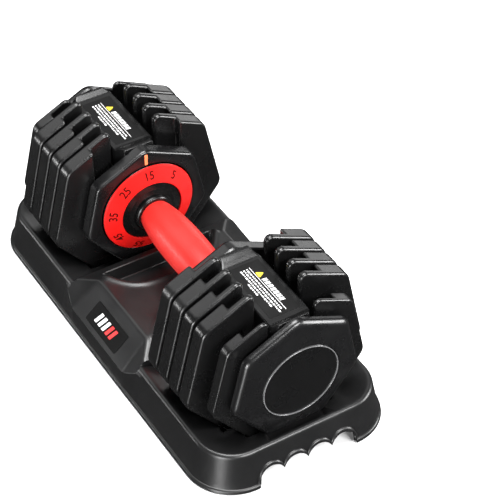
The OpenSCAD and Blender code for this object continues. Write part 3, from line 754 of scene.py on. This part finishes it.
def skirt_foot(x, y):
    """Height of the skirt's lower edge: four arches under each end."""
    best = FOOT_Z
    if abs(x) < LEN - 1 or abs(y) > 48.8:
        return best
    for i in (-1.5, -0.5, 0.5, 1.5):
        u = abs(y - i * ARCH_PITCH) / ARCH_R
        if u < 1:
            best = max(best, ARCH_Z + ARCH_R * math.sqrt(1 - u * u))
    return best


def skirt_rows(foot, crest_z, bulge):
    """(inset, height) up the outside of the skirt: a grooved lip along its edge, then the leaning wall."""
    span = RIM_Z - SOFT - FOOT_Z
    slope = (LEAN - LEDGE) * (1 - bulge)
    rows = []
    for h, inset in ((0.0, 0.5), (0.6, 0.0), (2.0, 0.0), (2.8, 0.2), (3.4, 0.6), (3.8, 1.2), (4.0, 1.7),
                     (LEDGE_H, LEDGE)):
        z = foot + h
        rows.append((inset + slope * (z - FOOT_Z) / span, z))
    for t in (0.12, 0.25, 0.4, 0.55, 0.7, 0.85, 0.95, 1.0):
        z = lerp(foot + LEDGE_H, crest_z, t)
        rows.append((LEDGE + slope * (z - FOOT_Z) / span, z))
    if bulge > 0:
        rows[-1] = (lerp(LEAN, LEDGE, bulge), crest_z)
    return rows


def inside_rows(height, reach):
    """Distances inward from the crest, with two rows put close to each side of a step."""
    near_rim = [0.35, 0.8, 1.4, 2.0, 2.7, 3.4, 4.2, 5.0] + [6.0 + 1.2 * i for i in range(8)]
    row = near_rim + [lerp(near_rim[-1], reach, i / 50) for i in range(1, 51)]
    for k in range(len(near_rim), len(row) - 2):
        low, high = row[k], row[k + 1]
        if abs(height(high) - height(low)) > 4.5 and high - low > 0.2:
            for _ in range(10):
                mid = (low + high) / 2
                near = abs(height(mid) - height(low)) > abs(height(high) - height(mid))
                low, high = (low, mid) if near else (mid, high)
            row[k], row[k + 1] = low - 0.03, high + 0.03
    return row


def tray_column(px, py, nx, ny):
    """Points from the ground up the skirt, over the rim and inward to the tray's middle line."""
    long_side = abs(ny) > 0.99
    # the skirt stands upright beside the badge pads
    bulge = 1 - min(1.0, max(0.0, (abs(px) - PAD_LOW_X) / (PAD_END.x - PAD_LOW_X))) if long_side else 0.0
    lean = lerp(LEAN, LEDGE, bulge)
    crest_x, crest_y = px - nx * lean, py - ny * lean
    crest_z = RIM_Z - SOFT
    if abs(px) < 90 and long_side:
        crest_z = min(crest_z, pad_surface(px, crest_y))
    outside = skirt_rows(skirt_foot(px, py), crest_z, bulge)
    column = [(px - nx * inset, py - ny * inset, z) for inset, z in outside]
    mid_x = max(-(LEN - WID), min(LEN - WID, px))
    reach = math.hypot(crest_x - mid_x, crest_y)
    dx, dy = (mid_x - crest_x) / reach, -crest_y / reach
    def height(d):
        return inside_height(crest_x + dx * d, crest_y + dy * d)
    return column + [(crest_x + dx * d, crest_y + dy * d, height(d)) for d in inside_rows(height, reach)]


def tray():
    columns = [tray_column(*point) for point in perimeter()]
    n, rows = len(columns), len(columns[0])
    faces = []
    for i in range(n):
        i2 = (i + 1) % n
        for j in range(rows - 1):
            faces.append([i * rows + j, i2 * rows + j, i2 * rows + j + 1, i * rows + j + 1])
    shell = make("tray_shell", (sum(columns, []), faces), MAT["tray"], "tray", ["tray"])
    wall = shell.modifiers.new("wall", "SOLIDIFY")
    wall.thickness = 0.0022
    wall.offset = -1
    posts = []
    for side in (1, -1):
        posts.append(flip(box_part(73.5, 79.6, -5.8, 5.8, FLOOR_Z - 0.5, 30.3), side))
        posts.append(flip(box_part(76.95, 79.25, -3.4, 3.4, FLOOR_Z - 0.5, 37.85), side))
    make("tray_lock_posts", joined(posts), MAT["tray"], "tray", bevel=0.5)


def badge(side, name):
    """A dark plate on a badge pad, with three white bars and two red ones."""
    slope = math.atan(PAD_FALL)
    centre_y, centre_z = 82.75, 33.62
    c, s = math.cos(slope), math.sin(slope)
    def place(u, v, h):
        """u runs along the tray, v up the slope and h off its surface."""
        return (u * -side, side * (centre_y - v * c + h * s), centre_z + v * s + h * c)
    def slab(outline, low, high):
        return extrude([place(u, v, low) for u, v in outline], [place(u, v, high) for u, v in outline])
    def bars(numbers):
        parts = []
        for u in [6.4 * i - 17 for i in numbers]:
            outline = [(u, -5.2), (u + 3.8, -5.2), (u + 6.6, 5.2), (u + 2.8, 5.2)]
            parts.append(slab(rounded(outline, 0.5, 3), 0.4, 0.55))
        return joined(parts)
    plate = slab(rounded(rectangle(-27.2, 27.2, -10.5, 10.5, 2.0), 2.0, 5), -0.3, 0.45)
    make(name + "_plate", plate, MAT["badge"], "tray", [name], bevel=0.25, segments=2)
    make(name + "_bars_white", bars((0, 1, 2)), MAT["white"], "tray")
    make(name + "_bars_red", bars((3, 4)), MAT["mark_red"], "tray")


tray()
badge(-1, "badge_front")
badge(1, "badge_rear")


# ---------- CAD nodes that stay ----------

KEEP = {"tray_feet": "rubber", "core_axle": "steel", "grip_tube": "steel", "axle_nuts": "steel",
        "inner_cap_screws": "steel", "end_cap_screws": "steel", "detent_plungers": "steel",
        "detent_springs": "spring", "tube_bushes": "bush", "thrust_washers": "bush"}
for side, hand in BOTH:
    KEEP["lock_spring_" + hand] = "spring"
    KEEP["lock_pin_" + hand] = "steel"
    KEEP["disc_spacers_" + hand] = "spacer"
    for k in range(1, 6):
        KEEP[f"selector_disc_{k}_{hand}"] = "disc"
for node, key in KEEP.items():
    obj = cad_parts[node]
    obj.data.materials.clear()
    obj.data.materials.append(MAT[key])


# ---------- studio ----------

FLOOR_HALF, FLOOR_LEVEL = 6.0, -0.0003       # half of the floor's side and its height, m
CAMERA_AT = (1.0615, -0.5996, 1.2032)
CAMERA_TURN, CAMERA_RISE, CAMERA_ROLL, CAMERA_LENS = 57.83, 42.45, 0.64, 132.76
# soft lights: name, place, size, power, point aimed at
LIGHTS = (
    ("top", (0.05, 0.0, 1.8), (1.1, 1.0), 75, (0, 0, 0)),
    ("front", (1.37, 0.25, 1.14), (1.0, 0.28), 40, (0.1, 0, 0.08)),
    ("right", (0.72, 1.34, 0.50), (0.8, 0.4), 27, (0.1, 0, 0.08)),
    ("low", (0.95, -1.15, 0.22), (0.6, 0.30), 18, (0.1, 0, 0.05)),
    ("corner", (0.96, -1.22, -0.26), (0.36, 0.8), 11, (0.15, -0.05, 0.02)),
    ("left", (-1.0, -1.2, 0.20), (0.4, 0.2), 7, (0, 0, 0.06)),
    ("back", (-1.10, 0.69, 1.19), (0.9, 0.7), 1.6, (0, 0, 0.1)),
    ("back_left", (-1.19, -0.50, 1.30), (1.0, 0.8), 5, (0, 0, 0.08)),
    ("back_right", (-1.12, 1.39, 0.40), (1.1, 0.6), 5, (0, 0, 0.08)),
)


def floor():
    """A pale floor just under the tray, which the black plastic neither mirrors nor is shaded by."""
    mesh = bpy.data.meshes.new("floor")
    ground = rectangle(-FLOOR_HALF, FLOOR_HALF, -FLOOR_HALF, FLOOR_HALF)
    mesh.from_pydata([(x, y, FLOOR_LEVEL) for x, y, _ in ground], [], [[0, 1, 2, 3]])
    mesh.materials.append(plastic("floor_pale", (0.86, 0.86, 0.86), 0.65, grain=60, bump=0.0, mottled=0.005,
                                  drift=0.05))
    obj = link("floor", mesh)
    obj.visible_glossy = False
    obj.visible_shadow = False


def lights():
    world = bpy.data.worlds.new("studio")
    bpy.context.scene.world = world
    world.use_nodes = True
    set_inputs(world.node_tree.nodes["Background"], Color=(1, 1, 1, 1), Strength=0.07)
    for name, place, size, power, aim in LIGHTS:
        light = bpy.data.lights.new(name, "AREA")
        light.shape = "RECTANGLE"
        light.size, light.size_y = size
        light.energy = power
        obj = link(name, light)
        obj.location = place
        obj.rotation_euler = (Vector(aim) - Vector(place)).to_track_quat("-Z", "Y").to_euler()


def camera():
    cam = bpy.data.cameras.new("camera")
    cam.sensor_width = 36
    cam.lens = CAMERA_LENS
    turn, rise, roll = math.radians(CAMERA_TURN), math.radians(CAMERA_RISE), math.radians(CAMERA_ROLL)
    back = Vector((math.sin(turn) * math.cos(rise), -math.cos(turn) * math.cos(rise), math.sin(rise)))
    level = Vector((math.cos(turn), math.sin(turn), 0))
    upright = back.cross(level)
    right = level * math.cos(roll) + upright * math.sin(roll)
    up = upright * math.cos(roll) - level * math.sin(roll)
    matrix = Matrix((right, up, back)).transposed().to_4x4()
    matrix.translation = Vector(CAMERA_AT)
    obj = link("camera", cam)
    obj.matrix_world = matrix
    bpy.context.scene.camera = obj


floor()
lights()
camera()
bpy.context.scene.view_settings.view_transform = "Standard"
